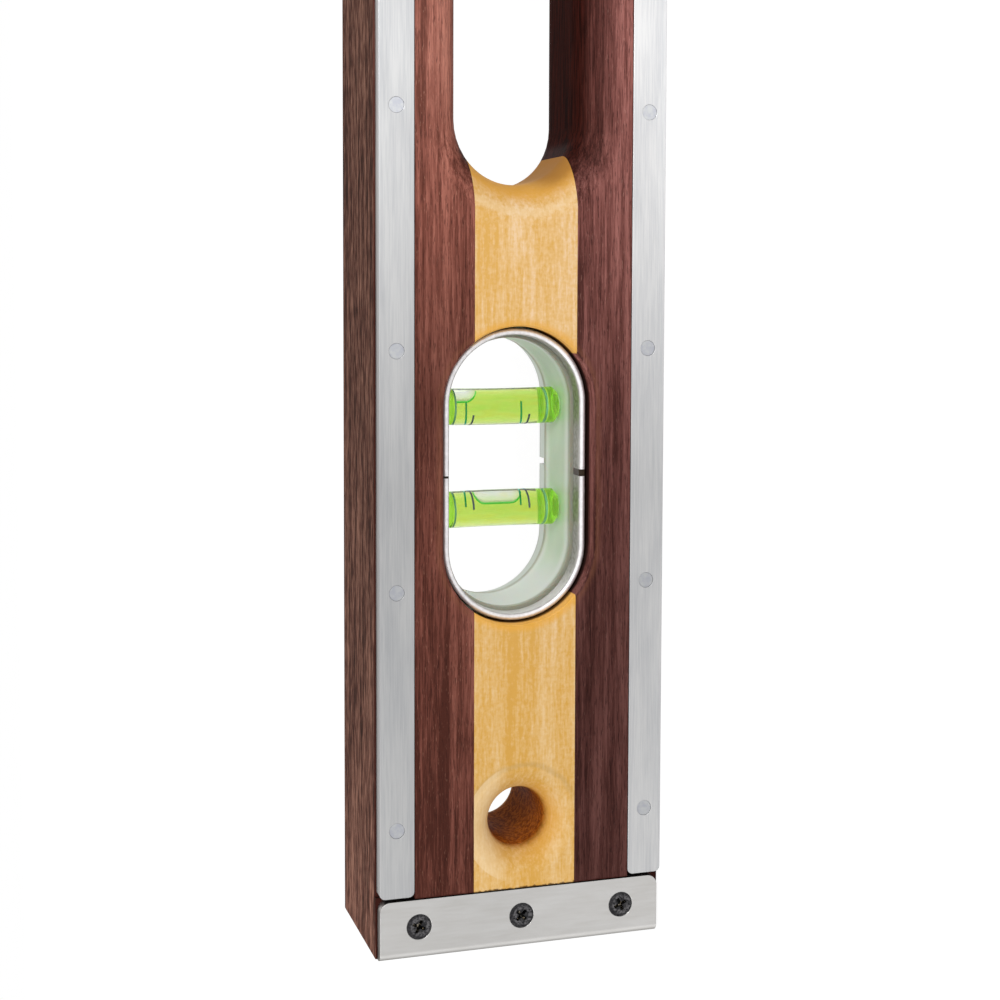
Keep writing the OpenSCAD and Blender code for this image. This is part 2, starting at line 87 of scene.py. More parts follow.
# short words for building the node tree of a material or the world
class Tree:
    def __init__(self, owner):
        owner.use_nodes = True
        self.tree = owner.node_tree
        self.tree.nodes.clear()

    def add(self, kind, inputs=None, **settings):
        # a new node with its settings, and its inputs by name or number
        node = self.tree.nodes.new(kind)
        for key, value in settings.items():
            setattr(node, key, value)
        for key, value in (inputs or {}).items():
            self.feed(value, node.inputs[key])
        return node

    def feed(self, value, socket):
        # another node's output is linked, a plain value is set
        if isinstance(value, bpy.types.NodeSocket):
            self.tree.links.new(value, socket)
        else:
            socket.default_value = value

    def math(self, operation, a, b=0.0, c=0.0):
        # one operation on up to three numbers
        return self.add("ShaderNodeMath", {0: a, 1: b, 2: c}, operation=operation).outputs[0]

    def parts(self):
        # x, y and z of the object's own coordinates
        coords = self.add("ShaderNodeTexCoord").outputs["Object"]
        return self.add("ShaderNodeSeparateXYZ", {0: coords}).outputs

    def place(self, scale=(1, 1, 1), shift=(0, 0, 0)):
        # the object's own coordinates times a scale, plus a shift
        coords = self.add("ShaderNodeTexCoord").outputs["Object"]
        return self.add("ShaderNodeMapping", {"Vector": coords, "Scale": scale, "Location": shift}).outputs[0]

    def turn(self):
        # x, y and z of the surface's normal
        normal = self.add("ShaderNodeNewGeometry").outputs["Normal"]
        return self.add("ShaderNodeSeparateXYZ", {0: normal}).outputs

    def blend(self, *pairs):
        # sum of values, each times its weight
        total = 0.0
        for value, weight in pairs:
            total = self.math("MULTIPLY_ADD", value, weight, total)
        return total

    def times(self, *values):
        # product of numbers
        total = values[0]
        for value in values[1:]:
            total = self.math("MULTIPLY", total, value)
        return total

    def speckle(self, size, detail=3.0, rough=0.6, shift=0.0):
        # even noise whose spots are about size millimetres, less a half
        scale = 1000.0 / size
        place = self.place((scale, scale, scale), (shift, shift, shift))
        return self.math("SUBTRACT", self.noise(place, 1.0, detail, rough), 0.5)

    def grain(self, long, wide, detail=3.0, rough=0.55, shift=0.0, twist=0.0):
        # noise stretched along the level: its flecks are about long by wide, in millimetres
        scale = (1000.0 / long, 1000.0 / wide, 1000.0 / wide)
        return self.noise(self.place(scale, (shift, shift * 2, shift * 3)), 1.0, detail, rough, twist)

    def noise(self, vector, scale, detail=3.0, rough=0.5, twist=0.0):
        # cloudy noise from 0 to 1
        return self.add("ShaderNodeTexNoise", {
            "Vector": vector, "Scale": scale, "Detail": detail, "Roughness": rough, "Distortion": twist
        }).outputs["Fac"]

    def range(self, value, low, high, toLow=0.0, toHigh=1.0, smooth=True):
        # carries low to toLow and high to toHigh, along an S curve or a straight line, and stays level beyond
        node = self.add("ShaderNodeMapRange", {
            "Value": value, "From Min": low, "From Max": high, "To Min": toLow, "To Max": toHigh
        }, interpolation_type="SMOOTHSTEP" if smooth else "LINEAR")
        return node.outputs[0]

    def ramp(self, value, stops):
        # the colour at a value from 0 to 1, between stops of place and colour
        node = self.add("ShaderNodeValToRGB", {"Fac": value})
        elements = node.color_ramp.elements
        while len(elements) < len(stops):
            elements.new(0.5)
        for element, (at, color) in zip(elements, stops):
            element.position = at
            element.color = (*color, 1)
        return node.outputs["Color"]

    def mix(self, fac, a, b, blend="MIX"):
        # the share fac of b and the rest of a, or another blend of the two
        node = self.add("ShaderNodeMix", data_type="RGBA", blend_type=blend)
        self.feed(fac, node.inputs[0])
        for value, socket in ((a, node.inputs[6]), (b, node.inputs[7])):
            self.feed((*value, 1) if isinstance(value, tuple) and len(value) == 3 else value, socket)
        return node.outputs[2]

    def shade(self, color, factor):
        # the colour times a number
        grey = self.add("ShaderNodeCombineColor", {0: factor, 1: factor, 2: factor}).outputs[0]
        return self.mix(1.0, color, grey, "MULTIPLY")

    def bump(self, height, strength, distance, normal=None):
        # the normal tilted by the slope of a height from 0 to 1, which stands for a distance in metres
        inputs = {"Height": height, "Strength": strength, "Distance": distance}
        if normal is not None:
            inputs["Normal"] = normal
        return self.add("ShaderNodeBump", inputs).outputs[0]

    def principled(self, **inputs):
        # the all-round shader with its inputs by name, _ for a space
        shader = self.add("ShaderNodeBsdfPrincipled")
        for key, value in inputs.items():
            socket = shader.inputs[key.replace("_", " ")]
            if isinstance(value, tuple) and len(value) == 3 and socket.type == "RGBA":
                value = (*value, 1)
            self.feed(value, socket)
        return shader

    def finish(self, surface, volume=None):
        # the surface, and what fills the inside if anything does
        out = self.add("ShaderNodeOutputMaterial")
        self.tree.links.new(surface, out.inputs["Surface"])
        if volume is not None:
            self.tree.links.new(volume, out.inputs["Volume"])


def newMaterial(name):
    # an empty material and its tree
    material = bpy.data.materials.new(name)
    return material, Tree(material)


def slotDistance(t, xs, z, mid):
    # distance in the face's plane from the nearest slot's centre line: the root of two squares added, of the
    # height off it and of what x has past half the straight stretch
    x3 = t.parts()
    best = None
    for x in xs:
        fromMiddle = t.math("ABSOLUTE", t.math("SUBTRACT", x3[0], x))
        dx = t.math("MAXIMUM", t.math("SUBTRACT", fromMiddle, mid / 2), 0.0)
        dz = t.math("SUBTRACT", x3[2], z)
        reach = t.math("SQRT", t.math("ADD", t.math("MULTIPLY", dx, dx), t.math("MULTIPLY", dz, dz)))
        best = reach if best is None else t.math("MINIMUM", best, reach)
    return best


def faceUp(t, axis, low=0.85, high=0.97):
    # 1 where the surface faces along an axis, either way
    return t.range(t.math("ABSOLUTE", t.turn()[axis]), low, high)


def depthIn(t):
    # how far a point lies below the nearer face: half the thickness less the size of y
    return t.math("SUBTRACT", level["thickness"] / 2, t.math("ABSOLUTE", t.parts()[1]))


def alongTone(t, stops):
    # a number that changes along the level, the same towards both ends: stops of distance from the middle and
    # value. The ramp holds a quarter of each value, because its colours end at 1
    share = t.math("DIVIDE", t.math("ABSOLUTE", t.parts()[0]), level["halfLength"])
    quarters = [(at / level["halfLength"], (value / 4,) * 3) for at, value in stops]
    return t.math("MULTIPLY", t.add("ShaderNodeRGBToBW", {0: t.ramp(share, quarters)}).outputs[0], 4.0)


# wear and painted shade that both woods share, in metres: each pair is where a soft change starts and ends, as
# a radius from the opening's centre line, a depth below the face or a distance from the level's middle
wearAndShade = {
    "windowWall": (0.01695, 0.01715), "windowLift": (0.0, 0.0004), "windowShadeDepth": (0.0022, 0.0034),
    "gripRim": (0.0235, 0.0245), "plateLine": (0.29135, 0.29165), "plateLineEnd": (0.2945, 0.2955),
}


def windowRim(t, color, look, fuzz, depth):
    # wood round a window hole: its wall is painted darker the deeper it lies, as shade inside the hole
    wall = t.range(fuzz, *wearAndShade["windowWall"], 1.0, 0.0)
    # the wall lies in the shade of its own rim, so its colour is lifted
    lift = t.range(t.times(wall, t.range(depth, *wearAndShade["windowLift"])), 0.0, 1.0, 1.0, look["wallLift"])
    wallShadow = t.times(wall, t.range(depth, *wearAndShade["windowShadeDepth"], 0.0, 0.9))
    return t.mix(wallShadow, t.shade(color, lift), look["rimShade"])


def plateGrime(t, color, grime):
    # a speckled line of dirt on the wood along an end plate's inner edge
    x = t.math("ABSOLUTE", t.parts()[0])
    line = t.range(t.blend((x, 1.0), (t.speckle(0.7, 4.0), 0.0011)), *wearAndShade["plateLine"], 0.0, 0.85)
    return t.mix(t.times(line, t.range(x, *wearAndShade["plateLineEnd"], 1.0, 0.0)), color, grime)


# dark varnished rails
darkWoodLook = {
    "deep": (0.045, 0.0135, 0.0095), "middle": (0.100, 0.0325, 0.0235), "light": (0.172, 0.063, 0.046),
    "pore": (0.022, 0.0075, 0.006), "fleck": (0.27, 0.13, 0.09), "endWood": (0.075, 0.030, 0.024),
    "rawDeep": (0.026, 0.0125, 0.009), "rawMiddle": (0.108, 0.045, 0.033), "rawLight": (0.330, 0.170, 0.120),
    "inside": (0.018, 0.0026, 0.0014), "rimShade": (0.018, 0.008, 0.006), "rub": (0.24, 0.095, 0.05),
    "joint": (0.045, 0.012, 0.009), "wallLift": 1.7, "upperTint": (1.02, 1.15, 1.18),
    "lowerTint": (1.0, 1.10, 1.30), "roughness": 0.55, "rawRoughness": 0.8, "specular": 0.03,
    # the rubbed line outside a window's burnt rim, and the lip beside a strip, measured from the narrow edge
    "rubStart": (0.0171, 0.0174), "rubEnd": (0.0175, 0.0188), "lipEnd": (0.00775, 0.00800),
    # the height where one rail's look gives way to the other's, and where the upper tint fades towards the ends
    "railChange": (0.026, 0.038), "upperFade": (0.112, 0.155),
    "rawAlong": [(0.0, 1.0), (0.20, 1.0), (0.25, 1.10), (0.285, 1.35), (0.305, 1.65)],
    "upperAlong": [(0.0, 2.4), (0.06, 3.2), (0.100, 3.8), (0.120, 3.6), (0.155, 2.1), (0.190, 1.05),
                   (0.220, 1.74), (0.260, 1.56), (0.305, 1.44)],
    "lowerAlong": [(0.0, 1.75), (0.06, 2.1), (0.115, 2.52), (0.155, 2.0), (0.190, 1.33), (0.235, 0.80),
                   (0.305, 0.69)],
}


def makeDarkWood(look):
    material, t = newMaterial("darkWood")
    x3, turn, depth = t.parts(), t.turn(), depthIn(t)
    # varnished wood: broad bands, streaks and fine grain, then dark pores and light flecks
    fine = t.grain(9, 0.4, 3.0, 0.6, 1.3)
    tone = t.blend((t.grain(48, 1.5, 4.0, 0.6, 0.0, 0.4), 0.35), (t.grain(190, 8, 3.0, 0.5, 3.1, 0.8), 0.35),
                   (fine, 0.30))
    color = t.ramp(tone, [(0.42, look["deep"]), (0.50, look["middle"]), (0.585, look["light"])])
    color = t.mix(t.range(t.grain(2.2, 0.15, 2.0, 0.5, 5.7), 0.57, 0.67, 0.0, 0.7), color, look["pore"])
    color = t.mix(t.range(t.grain(1.5, 0.15, 2.0, 0.5, 8.3), 0.64, 0.76, 0.0, 0.45), color, look["fleck"])
    # each rail has its own tint, and its own tone along the level, partly the wood's own tone and partly
    # painted light
    lower = t.range(x3[2], *look["railChange"], 1.0, 0.0)
    upperColor = t.mix(t.range(t.math("ABSOLUTE", x3[0]), *look["upperFade"], 1.0, 0.0), color,
                       t.mix(1.0, color, look["upperTint"], "MULTIPLY"))
    color = t.mix(lower, upperColor, t.mix(1.0, color, look["lowerTint"], "MULTIPLY"))
    upperTone, lowerTone = alongTone(t, look["upperAlong"]), alongTone(t, look["lowerAlong"])
    varnished = t.shade(color, t.add("ShaderNodeMix", {0: lower, 2: upperTone, 3: lowerTone}).outputs[0])
    # windows: a faint rubbed line on the face, outside the wall's painted shade
    ring = slotDistance(t, windowXs, level["windowZ"], level["windowMid"])
    fuzz = t.blend((ring, 1.0), (t.speckle(1.1), 0.0009))
    rub = t.times(t.range(fuzz, *look["rubStart"]), t.range(fuzz, *look["rubEnd"], 0.28, 0.0))
    varnished = windowRim(t, t.mix(rub, varnished, look["rub"]), look, fuzz, depth)
    # hand holes: painted shade darkens the wall that looks up with depth; the end grain is dark and mottled,
    # and painted shade deepens it with depth too
    grip = t.range(slotDistance(t, gripXs, level["gripZ"], level["gripMid"]), *wearAndShade["gripRim"], 1.0, 0.0)
    gripWallShade = t.times(t.math("POWER", t.range(depth, 0.0, 0.0060, smooth=False), 0.55),
                    t.range(turn[2], -0.1, 0.35))
    start = t.blend((depth, 1.0), (t.speckle(1.3), 0.0050))
    endGrain = t.times(t.range(start, 0.0003, 0.0040, 0.0, 0.85),
                       t.range(t.math("ABSOLUTE", turn[0]), 0.12, 0.50))
    # the colour inside is painted shade for the hand holes' walls, mottled along the grain
    inside = t.shade(look["inside"], t.range(t.blend((fine, 0.6), (tone, 0.4)), 0.42, 0.60, 0.5, 2.2))
    varnished = t.mix(t.times(t.math("MAXIMUM", gripWallShade, endGrain), grip, 0.97), varnished, inside)
    varnished = plateGrime(t, varnished, look["joint"])
    # the thin lip beside the strips is dark
    fromEdge = t.math("SUBTRACT", midZ, t.math("ABSOLUTE", t.math("SUBTRACT", x3[2], midZ)))
    varnished = t.mix(t.range(fromEdge, *look["lipEnd"], 0.85, 0.0), varnished, look["joint"])
    # raw narrow edges and ends
    rawTone = t.blend((t.grain(34, 1.3, 5.0, 0.7, 0.7, 0.3), 0.5), (t.grain(4, 0.45, 3.0, 0.6, 4.4), 0.5))
    raw = t.ramp(rawTone, [(0.41, look["rawDeep"]), (0.50, look["rawMiddle"]), (0.60, look["rawLight"])])
    raw = t.shade(raw, alongTone(t, look["rawAlong"]))
    raw = t.mix(t.range(t.math("ABSOLUTE", x3[1]), 0.0148, 0.0156, 0.0, 0.75), raw, look["joint"])
    edge = t.times(faceUp(t, 2, 0.9, 0.99), t.range(depth, 0.0, 0.00002))
    outside = t.math("GREATER_THAN", t.math("ABSOLUTE", t.math("SUBTRACT", x3[2], midZ)), midZ - 0.0003)
    color = t.mix(t.times(edge, outside), varnished, raw)
    endWood = t.ramp(t.speckle(0.7, 4.0, 0.7), [(0.0, look["rawDeep"]), (0.15, look["endWood"])])
    color = t.mix(faceUp(t, 0, 0.9, 0.99), color, endWood)
    rough = t.range(edge, 0, 1, look["roughness"], look["rawRoughness"])
    relief = t.bump(t.blend((fine, 0.5), (tone, 1.0)), 0.3, 0.00012)
    t.finish(t.principled(Base_Color=color, Roughness=rough, Normal=relief,
                          Specular_IOR_Level=look["specular"]).outputs[0])
    return material


# pale core, in six lengths between the openings
paleWoodLook = {
    "deep": (0.755, 0.430, 0.115), "middle": (0.825, 0.530, 0.230), "light": (0.885, 0.632, 0.380),
    "endTint": (1.0, 0.965, 0.80),
    "orange": (0.82, 0.42, 0.070), "flankShade": (0.43, 0.200, 0.045), "rimShade": (0.12, 0.050, 0.013),
    "hangDeep": (0.20, 0.046, 0.001), "hangSide": (0.50, 0.145, 0.014), "shadeLine": (0.42, 0.27, 0.10),
    "paintedShine": (0.93, 0.73, 0.46), "wallLift": 1.2, "grime": (0.05, 0.020, 0.008),
    # radii of the warm halo round a window and of the painted shadow line, rim and painted orange light round
    # the hang hole, and the depth where its rim goes over into its wall
    "halo": (0.0171, 0.0188), "shadeLineStart": (0.0116, 0.0124), "shadeLineEnd": (0.0126, 0.0136),
    "hangRim": (0.0128, 0.0131), "hangGlow": (0.0066, 0.0105), "hangWall": (0.0030, 0.0060),
    # distance from the middle where the ends' tint comes in, and the tone along the level
    "endChange": (0.21, 0.26),
    "along": [(0.0, 1.0), (0.13, 1.0), (0.18, 0.98), (0.24, 0.92), (0.27, 0.90), (0.305, 0.97)],
    "roughness": 0.5, "specular": 0.02,
}


def makePaleWood(look):
    material, t = newMaterial("paleWood")
    x3, turn, depth = t.parts(), t.turn(), depthIn(t)
    # bands, streaks, fine grain, waves across it and specks
    streaks = t.grain(24, 1.1, 4.0, 0.6, 0.0, 0.3)
    fine = t.grain(2.4, 0.45, 3.0, 0.6, 2.5)
    waves = t.grain(0.8, 3.2, 2.0, 0.5, 6.1, 0.5)
    tone = t.blend((streaks, 0.26), (t.grain(110, 7, 3.0, 0.5, 1.2, 0.6), 0.28), (fine, 0.24), (waves, 0.06),
                   (t.speckle(0.8, 2.0), 0.16))
    color = t.ramp(tone, [(0.35, look["deep"]), (0.43, look["middle"]), (0.51, look["light"])])
    endTinted = t.mix(1.0, color, look["endTint"], "MULTIPLY")
    color = t.mix(t.range(t.math("ABSOLUTE", x3[0]), *look["endChange"]), color, endTinted)
    color = plateGrime(t, t.shade(color, alongTone(t, look["along"])), look["grime"])
    # hand holes: a painted highlight where the rounding starts, then more orange, and painted shade, brown, on
    # the flank that looks up
    start = t.blend((depth, 1.0), (t.speckle(0.9, 3.0, 0.6, 3.9), 0.0012))
    grip = t.range(slotDistance(t, gripXs, level["gripZ"], level["gripMid"]), *wearAndShade["gripRim"], 1.0, 0.0)
    shine = t.times(t.range(start, 0.0, 0.0004), t.range(start, 0.0005, 0.0014, 0.36, 0.0), grip)
    color = t.mix(shine, color, look["paintedShine"])
    color = t.mix(t.times(t.range(start, 0.0008, 0.0036, 0.0, 0.85), grip), color, look["orange"])
    flankShade = t.times(t.range(turn[2], 0.10, 0.55, 0.0, 0.85), t.range(start, 0.0010, 0.0050), grip)
    color = t.mix(flankShade, color, look["flankShade"])
    # windows: a warm halo on the face, outside the wall's painted shade
    ring = slotDistance(t, windowXs, level["windowZ"], level["windowMid"])
    fuzz = t.blend((ring, 1.0), (t.speckle(1.1), 0.0009))
    color = t.mix(t.range(fuzz, *look["halo"], 0.7, 0.0), color, look["orange"])
    color = windowRim(t, color, look, fuzz, depth)
    # hang hole: a thin painted shadow line beyond its rounding towards the window, painted orange light towards
    # the lower edge, a painted highlight towards the upper one, and a mottled wall painted dark and orange as
    # shade and light
    hang = slotDistance(t, [hangX], midZ, 0.0)
    lineFuzz = t.blend((hang, 1.0), (t.speckle(4.0), 0.0016))
    upSide = t.range(t.math("SUBTRACT", x3[0], hangX), 0.001, 0.010)
    shadeLine = t.times(t.range(lineFuzz, *look["shadeLineStart"]), t.range(lineFuzz, *look["shadeLineEnd"], 0.30, 0.0),
                     upSide)
    color = t.mix(shadeLine, color, look["shadeLine"])
    nearHang = t.range(hang, *look["hangRim"], 1.0, 0.0)
    lowSide = t.range(t.math("SUBTRACT", x3[2], midZ), -0.006, 0.004, 0.55, 0.0)
    color = t.mix(t.times(t.range(hang, *look["hangGlow"], 1.0, 0.0), lowSide, nearHang), color, look["orange"])
    highSide = t.range(t.math("SUBTRACT", x3[2], midZ), 0.002, 0.008, 0.0, 0.45)
    color = t.mix(t.times(highSide, nearHang), color, look["paintedShine"])
    wall = t.mix(t.range(t.speckle(0.8, 3.0, 0.65), -0.16, 0.16), look["hangDeep"], look["hangSide"])
    color = t.mix(t.times(t.range(depth, *look["hangWall"]), nearHang), color, wall)
    relief = t.bump(t.blend((streaks, 0.6), (fine, 0.4)), 0.2, 0.0001)
    t.finish(t.principled(Base_Color=color, Roughness=look["roughness"], Normal=relief,
                          Specular_IOR_Level=look["specular"]).outputs[0])
    return material


# brushed steel: strips, end plates and rivets
steelLook = {
    "dark": (0.83, 0.84, 0.86), "light": (1.0, 1.0, 1.0), "roughness": 0.38, "lines": (9, 0.25),
    "clouds": (30, 5),
    "along": [(0.0, 0.64), (0.05, 0.70), (0.112, 0.715), (0.150, 0.60), (0.205, 0.425), (0.245, 0.45),
              (0.305, 0.478)],
    "upperEdge": 0.98, "lowerEdge": 1.17, "nose": (1.0, 1.0, 1.0), "grazing": (1.0, 1.0, 1.0),
    "side": (0.20, 0.19, 0.17), "edgeRadius": 0.00022,
}
plateLook = {
    "dark": (0.92, 0.90, 0.87), "light": (1.0, 0.985, 0.965), "roughness": 0.33, "lines": (0.9, 8),
    "clouds": (3.5, 12), "along": [(0.0, 0.51), (0.305, 0.51)], "upperEdge": 1.0, "lowerEdge": 1.06,
    "nose": (1.22, 0.80, 0.40), "grazing": (0.35, 0.34, 0.33), "side": (0.20, 0.19, 0.17),
    "edgeRadius": 0.00022,
}
rivetLook = {"dark": (0.82, 0.84, 0.92), "light": (0.97, 0.99, 1.0), "roughness": 0.42}


def makeBrushed(name, look):
    material, t = newMaterial(name)
    lines = t.grain(*look["lines"], 4.0, 0.6)
    clouds = t.grain(*look["clouds"], 3.0, 0.5, 1.7, 0.4)
    color = t.ramp(t.blend((lines, 0.6), (clouds, 0.4)), [(0.38, look["dark"]), (0.60, look["light"])])
    side = t.range(t.parts()[2], 0.022, 0.042, look["lowerEdge"], look["upperEdge"])
    # painted highlight and shade: a rounded end edge is lighter where it starts and darker where it turns away
    away = t.math("ABSOLUTE", t.turn()[0])
    start, middle, end = look["nose"]
    nose = t.math("MULTIPLY", t.range(away, 0.04, 0.22, 1.0, start), t.range(away, 0.36, 0.60, 1.0, middle))
    nose = t.math("MULTIPLY", nose, t.range(away, 0.78, 0.94, 1.0, end))
    # for the strips and rivets, the tone along the level is painted light
    color = t.shade(color, t.times(alongTone(t, look["along"]), side, nose))
    # the sides of a strip or plate, in the joint, stay dull
    color = t.mix(t.times(faceUp(t, 2, 0.9, 0.99), 0.45), color, look["side"])
    rough = t.range(clouds, 0.3, 0.7, look["roughness"] - 0.03, look["roughness"] + 0.05)
    # narrow edges catch the light as if rounded
    edge = t.add("ShaderNodeBevel", {"Radius": look["edgeRadius"]}, samples=6).outputs[0]
    t.finish(t.principled(Base_Color=color, Metallic=1.0, Roughness=rough, Specular_Tint=look["grazing"],
                          Normal=t.bump(lines, 0.10, 0.00004, edge)).outputs[0])
    return material


def makeRivetSteel(look):
    material, t = newMaterial("rivetSteel")
    clouds = t.speckle(1.1)
    color = t.ramp(t.math("ADD", clouds, 0.5), [(0.35, look["dark"]), (0.65, look["light"])])
    # the strips' tone along the level, painted light, falls on the rivets too
    color = t.shade(color, alongTone(t, steelLook["along"]))
    t.finish(t.principled(Base_Color=color, Metallic=1.0, Roughness=look["roughness"],
                          Normal=t.bump(clouds, 0.1, 0.00004)).outputs[0])
    return material


# black screws of the end plates: where they stand, and a painted highlight, a lighter band between two radii
screwLook = {
    "end": 0.007, "pitch": 0.0228, "bandStart": (0.0011, 0.0015), "bandEnd": (0.0019, 0.0023),
    "dark": (0.018, 0.018, 0.020), "light": (0.055, 0.053, 0.055), "ringShine": (0.14, 0.135, 0.14),
    "cross": (0.004, 0.004, 0.004), "glint": (0.42, 0.37, 0.28), "roughness": 0.36,
}


def makeScrewBlack(look):
    material, t = newMaterial("screwBlack")
    grain = t.noise(t.place((2500, 2500, 2500)), 1.0, 4.0)
    color = t.ramp(grain, [(0.4, look["dark"]), (0.7, look["light"])])
    # distance from the nearest screw's axis, which repeats at the pitch of the screws: the root of both squares
    x3 = t.parts()
    dx = t.math("SUBTRACT", t.math("ABSOLUTE", x3[0]), level["halfLength"] - look["end"])
    dz = t.math("PINGPONG", t.math("SUBTRACT", x3[2], midZ), look["pitch"] / 2)
    off = t.math("SQRT", t.math("ADD", t.math("MULTIPLY", dx, dx), t.math("MULTIPLY", dz, dz)))
    # painted highlight: a lighter ring on each head
    band = t.times(t.range(off, *look["bandStart"]), t.range(off, *look["bandEnd"], 1.0, 0.0))
    color = t.mix(t.times(band, t.range(grain, 0.35, 0.65, 0.0, 0.9)), color, look["ringShine"])
    # painted shade keeps the cross darkest where it is deep, apart from a few painted glints
    color = t.mix(t.range(depthIn(t), 0.0002, 0.0011), color, look["cross"])
    spots = t.range(t.speckle(0.6, 2.0, 0.5, 7.7), 0.06, 0.12, 0.0, 0.8)
    color = t.mix(t.times(t.range(depthIn(t), 0.0004, 0.0008), spots), color, look["glint"])
    t.finish(t.principled(Base_Color=color, Metallic=0.85, Roughness=look["roughness"],
                          Normal=t.bump(grain, 0.25, 0.00004), Specular_IOR_Level=0.3).outputs[0])
    return material


# the plated rings of the windows
nickelLook = {
    # from the sides of the rim, which look across, to its crown, which looks out: painted shade to painted
    # light
    "rim": [(0.0, (0.36, 0.355, 0.32)), (0.30, (0.55, 0.535, 0.52)), (0.62, (0.74, 0.72, 0.715)),
            (1.0, (0.87, 0.86, 0.875))],
    "lit": (0.74, 0.74, 0.70), "metallic": 0.6,
    "creaseShade": (0.13, 0.13, 0.095), "back": (0.62, 0.68, 0.60), "roughness": 0.42,
}


def makeNickel(look):
    material, t = newMaterial("nickel")
    grain = t.speckle(1.1, 4.0)
    turn = t.turn()
    # painted light and shade across the rim, set by the way its surface looks
    color = t.ramp(t.math("ABSOLUTE", turn[1]), look["rim"])
    color = t.shade(color, t.range(grain, -0.2, 0.2, 0.88, 1.08))
    # painted light: the walls that look up the level are lighter
    across = t.range(t.math("ABSOLUTE", turn[1]), 0.2, 0.5, 1.0, 0.0)
    color = t.mix(t.times(across, t.range(turn[0], 0.2, 0.8, 0.0, 0.8)), color, look["lit"])
    # painted shade: darker spots below the rim, where the ring goes down to the glass
    spots = t.range(t.speckle(0.8, 4.0, 0.7, 2.0), -0.06, 0.10, 0.25, 0.8)
    low = t.times(t.range(depthIn(t), 0.0034, 0.0044), spots, t.range(turn[0], 0.2, 0.8, 1.0, 0.15))
    color = t.mix(low, color, look["creaseShade"])
    # the wall of a ring on the back face, seen through the window, takes the liner's colour
    behind = t.times(t.math("GREATER_THAN", t.parts()[1], 0.0), across)
    color = t.mix(t.times(behind, t.range(depthIn(t), 0.0034, 0.0040)), color, look["back"])
    t.finish(t.principled(Base_Color=color, Metallic=look["metallic"], Roughness=look["roughness"],
                          Normal=t.bump(grain, 0.15, 0.00006)).outputs[0])
    return material


# glass, liner and vials
paneLook = {"rim": (0.45, 0.75, 0.35), "bend": 1.2, "roughness": 0.03}


def makePane(look):
    # clear on both faces and green at the rim, with a weak reflection
    material, t = newMaterial("paneGlass")
    rim = t.math("SUBTRACT", 1.0, faceUp(t, 1, 0.5, 0.6))
    see = t.add("ShaderNodeBsdfTransparent", {"Color": t.mix(rim, (1, 1, 1), look["rim"])})
    shine = t.add("ShaderNodeBsdfGlossy", {"Roughness": look["roughness"]})
    fresnel = t.add("ShaderNodeFresnel", {"IOR": look["bend"]}).outputs[0]
    both = t.add("ShaderNodeMixShader", {0: fresnel, 1: see.outputs[0], 2: shine.outputs[0]})
    t.finish(both.outputs[0])
    return material


linerLook = {
    "deep": (0.64, 0.77, 0.58), "light": (0.75, 0.87, 0.69), "front": (0.33, 0.33, 0.23),
    "pale": (0.95, 0.97, 0.93),
    # how deep below the face the liner starts, behind the glass
    "frontDepth": 0.0077,
}


def makeLiner(look):
    material, t = newMaterial("linerPlastic")
    clouds = t.speckle(8.0, 3.0, 0.5)
    color = t.ramp(t.math("ADD", clouds, 0.5), [(0.3, look["deep"]), (0.7, look["light"])])
    # painted light: paler where it looks up the level, and graded from both open ends: olive next to the glass,
    # then pale as painted light, then plain
    color = t.mix(t.range(t.turn()[0], 0.15, 0.80, 0.0, 1.0), color, look["pale"])
    depth = t.math("SUBTRACT", depthIn(t), look["frontDepth"])
    color = t.mix(t.range(depth, 0.0018, 0.0045, 0.8, 0.0), color, look["pale"])
    color = t.mix(t.range(depth, 0.0002, 0.0020, 0.85, 0.0), color, look["front"])
    t.finish(t.principled(Base_Color=color, Roughness=0.45, Subsurface_Weight=0.3, Subsurface_Scale=0.003,
                          Normal=t.bump(clouds, 0.05, 0.0001)).outputs[0])
    return material


def axisDistance(t, radius):
    # 1 outside a radius round the nearest vial's axis, which tells the outer skin of a tube from its bore: the
    # square of the distance is compared with that of the radius
    x3 = t.parts()
    yy = t.math("MULTIPLY", x3[1], x3[1])
    best = None
    for x in (windowXs[0], windowXs[2]):
        shift = level["vialShift"] * (1 if x < 0 else -1)
        for way in (-1, 1):
            dx = t.math("SUBTRACT", x3[0], x + shift + way * level["vialPitch"] / 2)
            d = t.math("ADD", t.math("MULTIPLY", dx, dx), yy)
            best = d if best is None else t.math("MINIMUM", best, d)
    for way in (-1, 1):
        dz = t.math("SUBTRACT", x3[2], level["windowZ"] + way * level["levelPitch"] / 2)
        far = t.math("GREATER_THAN", t.math("ABSOLUTE", x3[0]), 0.05)
        d = t.math("ADD", t.math("ADD", t.math("MULTIPLY", dz, dz), yy), far)
        best = t.math("MINIMUM", best, d)
    return t.math("GREATER_THAN", best, radius * radius)


def tubeEnds(t, margin):
    # 1 within a margin of both ends of the nearest vial's liquid, by the size of x or z from the vial's middle
    x3 = t.parts()
    x = t.math("ABSOLUTE", x3[0])
    far = t.math("GREATER_THAN", x, 0.05)
    z = t.math("ABSOLUTE", t.math("SUBTRACT", x3[2], level["windowZ"]))
    plumb = t.math("MULTIPLY", t.math("GREATER_THAN", z, level["plumbTube"] / 2 - margin), far)
    middle = t.math("SUBTRACT", 1.0, far)
    centre = t.math("MULTIPLY", t.math("GREATER_THAN", x, level["levelTube"] / 2 - margin), middle)
    return t.math("MAXIMUM", plumb, centre)


